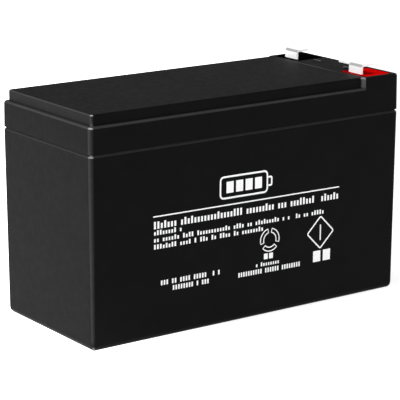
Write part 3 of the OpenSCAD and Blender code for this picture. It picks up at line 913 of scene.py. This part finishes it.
def pourResin(name, tree):
    resin = pouredResin
    pool = pools[name]
    finish = resins[pool["finish"]]
    coatNode(pool["seal"], finish)
    low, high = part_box(pool["seal"])
    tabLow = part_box(pool["tab"])[0]
    surface = high[2] - resin["depth"] + resin["above"]
    middle = Vector(((low[0] + high[0]) / 2, (low[1] + high[1]) / 2, surface))
    leg = Vector((tabLow[0] + resin["legThickness"] / 2, tabLow[1] + resin["legWidth"] / 2, surface))
    top = runTree(name, tree, {
        "Length": high[0] - low[0] - 2 * resin["inset"], "Width": high[1] - low[1] - 2 * resin["inset"],
        "Corner": resin["corner"], "Corner Steps": resin["cornerSteps"], "Leg Place": leg - middle,
        "Leg Half Length": resin["legThickness"] / 2, "Leg Half Width": resin["legWidth"] / 2,
        "Leg Climb": resin["legClimb"], "Leg Reach": resin["legReach"], "Wall Climb": resin["wallClimb"],
        "Wall Reach": resin["wallReach"], "Depth": resin["depth"], "Splits": resin["splits"],
        "Sew Reach": resin["sewReach"], "Resin": finish})
    top.data.transform(Matrix.Translation(middle))
    keepPiece(top, pool["slot"])


resinTree = makePouredResinTree()
for poolName in pools:
    pourResin(poolName, resinTree)
print("stage: resin poured")

# Camera, fitted to the photograph's edges; its turns are in radians
photoCamera = {
    "place": (-0.445559, -0.621856, 0.238120),
    "yaw": 0.619289,
    "pitch": 0.250419,
    "roll": 0.001781,
    "lens": 173.46,             # on a sensor 36 mm wide
    "sensor": 36,
    "near": 0.05,
    "far": 20,
}


def makeCamera():
    yaw, pitch, roll = photoCamera["yaw"], photoCamera["pitch"], photoCamera["roll"]
    ahead = Vector((math.sin(yaw) * math.cos(pitch), math.cos(yaw) * math.cos(pitch), -math.sin(pitch)))
    level = Vector((math.cos(yaw), -math.sin(yaw), 0))
    upright = level.cross(ahead)
    side = math.cos(roll) * level + math.sin(roll) * upright
    top = math.cos(roll) * upright - math.sin(roll) * level
    data = bpy.data.cameras.new("photoCamera")
    data.lens = photoCamera["lens"]
    data.sensor_width = photoCamera["sensor"]
    data.clip_start = photoCamera["near"]
    data.clip_end = photoCamera["far"]
    camera = linkObject("photoCamera", data)
    turn = Matrix((side, top, -ahead)).transposed().to_4x4()
    camera.matrix_world = Matrix.Translation(photoCamera["place"]) @ turn
    scene.camera = camera


# Studio: a pale floor that is brighter towards the left, a plain grey surround and soft lamps
studio = {
    "floorSize": 40,
    "floorShade": 0.5,          # the floor that lights the battery from below
    "paperShade": 0.35,         # the floor that is seen, which takes the shadow
    "paperGlow": 0.8,           # its glow right of the battery
    "paperGlowLeft": 2.0,       # and left of it
    "glowFrom": -0.03,          # Y less X, where it turns from one to the other
    "glowTo": 0.06,
    "skyShade": 0.32,
    "aim": (0, 0, 0.05),
    "lamps": {                  # size in metres, power in watts
        "overhead": {"place": (-0.22, -0.02, 1.05), "size": 0.4, "power": 10},
        "frontFill": {"place": (-0.3, -1.2, 0.5), "size": 0.7, "power": 11},
        "leftSide": {"place": (-1.2, 0.1, 0.35), "size": 0.6, "power": 9},
    },
}


def grey(shade):
    return (shade, shade, shade, 1)


def makeFloorPaper():
    material, tree = newMaterial("floorPaper")
    tree.nodes.remove(tree.nodes["Principled BSDF"])
    axes = axesOf(tree, coordinates(tree)["Object"])
    leftwards = mathNode(tree, "SUBTRACT", axes["Y"], axes["X"])
    glow = remap(tree, leftwards, studio["paperGlow"], studio["paperGlowLeft"],
                 studio["glowFrom"], studio["glowTo"], interpolation_type="SMOOTHSTEP")
    paper = addNode(tree, "ShaderNodeBsdfDiffuse", {"Color": grey(studio["paperShade"])})
    shine = addNode(tree, "ShaderNodeEmission", {"Color": grey(1), "Strength": glow})
    seen = addNode(tree, "ShaderNodeAddShader", {0: paper.outputs["BSDF"], 1: shine.outputs["Emission"]})
    unseen = addNode(tree, "ShaderNodeBsdfDiffuse", {"Color": grey(studio["floorShade"])})
    path = addNode(tree, "ShaderNodeLightPath").outputs
    shown = mathNode(tree, "MAXIMUM", mathNode(tree, "MAXIMUM", path["Is Camera Ray"], path["Is Glossy Ray"]),
                     path["Is Transmission Ray"])
    pick = addNode(tree, "ShaderNodeMixShader", {
        0: shown, 1: unseen.outputs["BSDF"], 2: seen.outputs["Shader"]})
    feed(tree, tree.nodes["Material Output"].inputs["Surface"], pick.outputs["Shader"])
    return material


def makeFloor():
    half = studio["floorSize"] / 2
    corners = [(-half, -half, 0), (half, -half, 0), (half, half, 0), (-half, half, 0)]
    mesh = bpy.data.meshes.new("floor")
    mesh.from_pydata(corners, [], [(0, 1, 2, 3)])
    mesh.materials.append(makeFloorPaper())
    linkObject("floor", mesh)


def makeWorld():
    scene.world = bpy.data.worlds.new("studioAir")
    scene.world.use_nodes = True
    air = scene.world.node_tree.nodes["Background"]
    air.inputs["Color"].default_value = grey(1)
    air.inputs["Strength"].default_value = studio["skyShade"]


def makeLamp(name):
    setting = studio["lamps"][name]
    data = bpy.data.lights.new(name, "AREA")
    data.shape = "SQUARE"
    data.size = setting["size"]
    data.energy = setting["power"]
    lamp = linkObject(name, data)
    lamp.location = setting["place"]
    lamp.rotation_euler = (Vector(studio["aim"]) - lamp.location).to_track_quat("-Z", "Y").to_euler()
    lamp.visible_camera = False


makeCamera()
makeFloor()
makeWorld()
for lampName in studio["lamps"]:
    makeLamp(lampName)
scene.view_settings.view_transform = "Standard"
print("stage: studio lit")
